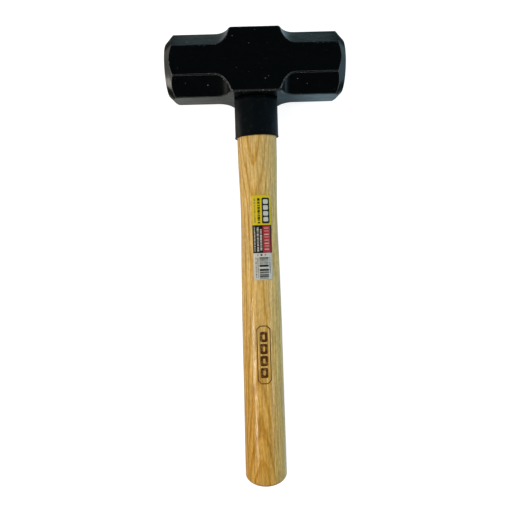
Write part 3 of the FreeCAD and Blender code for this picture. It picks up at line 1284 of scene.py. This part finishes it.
@dataclass
class Collar(HandlePiece):
    """Plastic sleeve under the head, whose lower end is trimmed a little unevenly."""

    title = "plastic_collar"
    node = "collar"
    slot = "black_plastic"
    length: float = 29.6
    wall: float = 1.4
    clearance: float = 0.03
    lip_proud: float = 0.25
    lip_height: float = 1.4
    slant: float = 0.45
    slant_starts: float = 6.0
    half_width: float = 17.0
    rings: int = 14

    def finish(self) -> Finish:
        """Chooses black plastic."""
        return MouldedPlastic()

    def model(self) -> Mesh:
        """Models the sleeve, down its outside, round the lip and up its inside.

        Returns:
            The mesh, in metres.
        """
        mesh = bmesh.new()
        top, bottom = self.form.shoulder, self.form.shoulder - self.length
        outside = self.clearance + self.wall
        lip_top = bottom + self.lip_height
        heights = [top + (lip_top - top) * step / self.rings for step in range(self.rings + 1)]
        tube = OvalTube(mesh, self.form.at(heights[0]).grown(outside))
        tube.extend(*[self.form.at(height).grown(outside) for height in heights[1:]])
        for share in (0.25, 0.5, 0.75, 0.9):
            height = lip_top - self.lip_height * share
            bulge = self.lip_proud * math.sin(math.pi / 2 * min(1.0, share / 0.6))
            tube.extend(self.form.at(height).grown(outside + bulge))
        low = self.form.at(bottom)
        tube.extend(low.grown(outside + self.lip_proud * 0.5),
                    low.grown(self.clearance + 0.3), low.grown(self.clearance, 0.3))
        tube.extend(*[self.form.at(height).grown(self.clearance)
                      for height in reversed(heights)])
        bmesh.ops.bridge_loops(mesh, edges=[*tube.first_edges, *tube.edges])
        slant_top = lip_top + self.slant_starts
        for vert in mesh.verts:
            reach = max(0.0, (slant_top - vert.co.y / MM) / (slant_top - bottom))
            side = vert.co.x / MM / self.half_width
            vert.co.y += self.slant * reach * side * MM
        return mesh


@dataclass
class Wedges:
    """The wooden wedge in the kerf and the two steel ones across it."""

    wood: WedgeWood = field(default_factory=WedgeWood)
    steel: WedgeSteel = field(default_factory=WedgeSteel)
    raised: float = 0.45
    eased: float = 0.15

    def build_steel(self, side: str, material: bpy.types.Material) -> bpy.types.Object:
        """Makes one steel wedge whose driven end shows in the end of the tenon.

        Args:
            side: Which of the two, as its node's name says it.
            material: Its finish.

        Returns:
            The finished piece.
        """
        node = f"steel_wedge_{side}"
        mesh = copy_solid(node)
        bmesh.ops.dissolve_limit(mesh, angle_limit=0.01, verts=mesh.verts, edges=mesh.edges)
        bmesh.ops.translate(mesh, verts=mesh.verts, vec=(0, self.raised * MM, 0))
        top = max(vert.co.y for vert in mesh.verts) - 0.01 * MM
        rim = [edge for edge in mesh.edges if min(vert.co.y for vert in edge.verts) > top]
        round_off(mesh, rim, self.eased, 2)
        piece = place_mesh(mesh, f"driven_wedge_{side}", smooth=False)
        dress_piece(piece, material, node)
        return piece

    def build(self, effects: Effects) -> None:
        """Makes the steel wedges and gives all three their finishes.

        Args:
            effects: The shared effects.
        """
        dress_node(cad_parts["wood_wedge"], self.wood.build(effects))
        steel = self.steel.build(effects)
        for side in ("left", "right"):
            piece = self.build_steel(side, steel)
            LOG.info("steel wedge, %s: %d faces", side, len(piece.data.polygons))
        LOG.info("wooden wedge: in the kerf")


@dataclass
class Label(HandlePiece):
    """Thin film with round corners, curved over the upper side of the grip."""

    title = "printed_label"
    node = "label"
    slot = "printed_film"
    below_shoulder: float = 74.8
    length: float = 65.6
    width: float = 14.5
    offset: float = 1.8
    corner: float = 2.1
    thick: float = 0.16
    glue: float = 0.03
    cells: tuple[int, int] = (16, 60)

    @property
    def near(self) -> float:
        """Where the label starts, on the handle's axis."""
        return self.form.shoulder - self.below_shoulder

    def finish(self) -> Finish:
        """Chooses the print, set out from the label's left side and near end."""
        return PrintedFilm(left=self.offset - self.width / 2, near=self.near)

    def model(self) -> Mesh:
        """Models the film flat, rounds its corners and lays it on the handle.

        Returns:
            The mesh, in metres.
        """
        mesh = bmesh.new()
        bmesh.ops.create_grid(mesh, x_segments=self.cells[0], y_segments=self.cells[1],
                              size=0.5 * MM)
        bmesh.ops.scale(mesh, verts=mesh.verts, vec=(self.width, self.length, 1))
        middle = (self.offset * MM, (self.near - self.length / 2) * MM, 0)
        bmesh.ops.translate(mesh, verts=mesh.verts, vec=middle)
        corners = [vert for vert in mesh.verts if len(vert.link_edges) == 2]
        round_off(mesh, corners, self.corner, 6, Rounded.CORNERS)
        for vert in mesh.verts:
            section = self.form.at(vert.co.y / MM).grown(self.glue + self.thick)
            vert.co.z = section.height_at(vert.co.x / MM) * MM
        bmesh.ops.recalc_face_normals(mesh, faces=mesh.faces)
        bmesh.ops.solidify(mesh, geom=mesh.faces[:], thickness=self.thick * MM)
        return mesh


# ---- Studio ---------------------------------------------------------------------------------
@dataclass(frozen=True)
class Lamp:
    """Soft rectangular lamp, aimed at a point, all in metres."""

    name: str
    place: tuple[float, float, float]
    size: tuple[float, float]
    watts: float
    colour: tuple[float, float, float]
    target: tuple[float, float, float] = (0.0, -0.12, 0.02)
    mirrored: bool = False

    def build(self) -> None:
        """Hangs the lamp."""
        data = bpy.data.lights.new(self.name, "AREA")
        data.shape = "RECTANGLE"
        data.size, data.size_y = self.size
        data.energy = self.watts
        data.color = self.colour
        lamp = bpy.data.objects.new(self.name, data)
        lamp.location = self.place
        aim = Vector(self.target) - Vector(self.place)
        lamp.rotation_euler = aim.to_track_quat("-Z", "Y").to_euler()
        lamp.visible_glossy = self.mirrored
        bpy.context.scene.collection.objects.link(lamp)


@dataclass
class Studio:
    """Pale floor, soft side lamps, surroundings and camera."""

    axis_height: float
    floor_half: float = 3.0
    floor_gap: float = 0.05
    lamps: tuple[Lamp, ...] = (
        Lamp("Left softbox", (-0.54, -0.08, 0.50), (0.4, 0.8), 4.75, (1.0, 0.90, 0.77)),
        Lamp("Right softbox", (0.62, 0.0, 0.34), (0.4, 0.8), 3.6, (0.70, 0.90, 1.0)),
        Lamp("Left strip light", (-0.61, -0.48, 0.70), (0.45, 0.05), 1.5, (1.0, 0.92, 0.80),
             mirrored=True),
        Lamp("Right strip light", (0.61, -0.40, 0.70), (0.5, 0.03), 0.5, (0.90, 0.97, 1.0),
             mirrored=True),
    )
    fill: Colour = (0.24, 0.24, 0.24, 1.0)
    floor_tone: Colour = (0.35, 0.35, 0.35, 1.0)
    floor_glow: float = 0.87
    near_tones: tuple[Colour, Colour] = ((0.50, 0.53, 0.53, 1.0), (0.56, 0.76, 0.89, 1.0))
    far_tones: tuple[Colour, Colour] = ((0.23, 0.31, 0.35, 1.0), (0.17, 0.26, 0.28, 1.0))
    side_change: Span = (-60.0, 60.0)
    far_change: Span = (50.0, 110.0)
    dim_edge: Span = (62.0, 92.0)
    card_inner: Span = (122.0, 148.0)
    card_outer: Span = (160.0, 260.0)
    card_along: Span = (-220.0, -60.0)
    head_below: Span = (-55.0, -30.0)
    head_above: Span = (45.0, 0.0)
    card_peak: float = 6.0
    card_low: float = 0.8
    card_tints: tuple[Colour, Colour] = ((1.0, 0.90, 0.78, 1.0), (0.58, 0.85, 1.0, 1.0))
    side_skies: tuple[Colour, Colour] = ((0.10, 0.12, 0.12, 1.0), (0.10, 0.30, 0.45, 1.0))
    front_sky: Colour = (0.8, 0.85, 0.9, 1.0)
    back_sky: Colour = (0.02, 0.02, 0.02, 1.0)
    top_sky: Colour = (0.03, 0.045, 0.05, 1.0)
    lens: float = 33.69
    camera_reach: float = 0.37322
    picture_shift: tuple[float, float] = (-0.00086, 0.14552)
    pitch: float = 0.0489
    yaw: float = 0.006
    roll: float = 0.0288

    def _card(self, graph: Graph, across: Socket, along: Socket) -> Socket:
        """How bright the two reflecting cards are at each point of the floor.

        Args:
            graph: The floor material's graph.
            across: How far right of the object a point is, in millimetres.
            along: How far towards the head it is.

        Returns:
            The glow that mirrors see, strongest on the left, level with the head.
        """
        reach = graph.math("ABSOLUTE", across)
        level = graph.product(graph.spread(across, *reversed(self.side_change)),
                              graph.spread(along, *self.head_below),
                              graph.spread(along, *self.head_above))
        peak = graph.math("MULTIPLY_ADD", level, self.card_peak - self.card_low, self.card_low)
        glow = graph.spread(reach, *self.card_outer, peak, 1.0)
        return graph.product(graph.spread(reach, *self.card_inner),
                             graph.spread(along, *self.card_along, 0.1, 1.0), glow)

    def build_floor(self) -> None:
        """Lays a pale floor that glows up to white and keeps the shadows.

        In mirrors it is dim near the object, with a warm card on its left and a cool one on
        its right.
        """
        mesh = bmesh.new()
        bmesh.ops.create_grid(mesh, x_segments=1, y_segments=1, size=self.floor_half)
        floor = place_mesh(mesh, "floor", -self.floor_gap, smooth=False)
        material, graph, shader = start_material("Pale floor")
        seen, mirrored = graph.rays()
        parts = graph.split(graph.place())
        right = graph.spread(parts["X"], *self.side_change)
        tone = graph.mix(graph.spread(parts["Y"], *self.far_change),
                         graph.mix(right, *self.near_tones), graph.mix(right, *self.far_tones))
        dark = graph.spread(graph.math("ABSOLUTE", parts["X"]), *self.dim_edge, 0.0, 0.92)
        tone = graph.mix(dark, tone, PURE_BLACK)
        card = graph.product(mirrored, self._card(graph, parts["X"], parts["Y"]))
        for name, value in {
            "Roughness": 1.0,
            "Specular IOR Level": 0.0,
            "Base Color": graph.mix(mirrored, self.floor_tone, tone),
            "Emission Color": graph.mix(seen, graph.mix(right, *self.card_tints), PURE_WHITE),
            "Emission Strength": graph.strongest(graph.product(seen, self.floor_glow), card),
        }.items():
            graph.feed(shader.inputs[name], value)
        floor.data.materials.append(material)

    def build_world(self) -> None:
        """Surrounds the scene: white where seen, dim as a fill, dark overhead in mirrors."""
        world = bpy.data.worlds.new("Studio")
        world.use_nodes = True
        graph = Graph(world.node_tree)
        seen, mirrored = graph.rays()
        parts = graph.split(graph.node("ShaderNodeTexCoord").outputs["Generated"])
        sky = graph.mix(graph.spread(parts["X"], -0.7, 0.7), *self.side_skies)
        for amount, colour in (
                (graph.spread(parts["Y"], 0.1, 0.8), self.front_sky),
                (graph.spread(parts["Y"], -0.2, -0.8), self.back_sky),
                (graph.spread(parts["Z"], 0.0, 0.42), self.top_sky)):
            sky = graph.mix(amount, sky, colour)
        light = graph.mix(seen, graph.mix(mirrored, self.fill, sky), PURE_WHITE)
        shader = graph.node("ShaderNodeBackground", {"Color": light, "Strength": 1.0})
        graph.node("ShaderNodeOutputWorld", {"Surface": shader.outputs["Background"]})
        bpy.context.scene.world = world

    def build_camera(self) -> None:
        """Hangs the camera over the middle of the handle, looking almost straight down."""
        turn = (Matrix.Rotation(-self.yaw, 4, "Y") @ Matrix.Rotation(-self.pitch, 4, "X")
                @ Matrix.Rotation(-self.roll, 4, "Z"))
        shift_x, shift_y = self.picture_shift
        back = turn @ Vector((-shift_x, -shift_y, self.camera_reach))
        data = bpy.data.cameras.new("Camera")
        data.lens = self.lens
        data.clip_start, data.clip_end = 0.01, 20.0
        camera = bpy.data.objects.new("Camera", data)
        lift = Matrix.Translation(back + Vector((0.0, 0.0, self.axis_height * MM)))
        camera.matrix_world = lift @ turn
        bpy.context.scene.collection.objects.link(camera)
        bpy.context.scene.camera = camera

    def build(self) -> None:
        """Sets up everything round the object."""
        self.build_floor()
        self.build_world()
        self.build_camera()
        for lamp in self.lamps:
            lamp.build()
        bpy.context.scene.view_settings.view_transform = "Standard"


def main() -> None:
    """Builds every sub-assembly and the studio, in order."""
    logging.basicConfig(level=logging.INFO)
    effects = Effects()
    head_low, head_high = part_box("head")
    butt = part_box("handle")[0].y / MM
    square = (head_high.z - head_low.z) / MM
    axis_height = square / 2
    form = HandleForm(shoulder=head_low.y / MM, butt=butt)
    Head(square).build(effects)
    Handle(form, axis_height).build(effects)
    Collar(form, axis_height).build(effects)
    Wedges().build(effects)
    Label(form, axis_height).build(effects)
    Studio(axis_height).build()


if __name__ == "__main__":
    main()
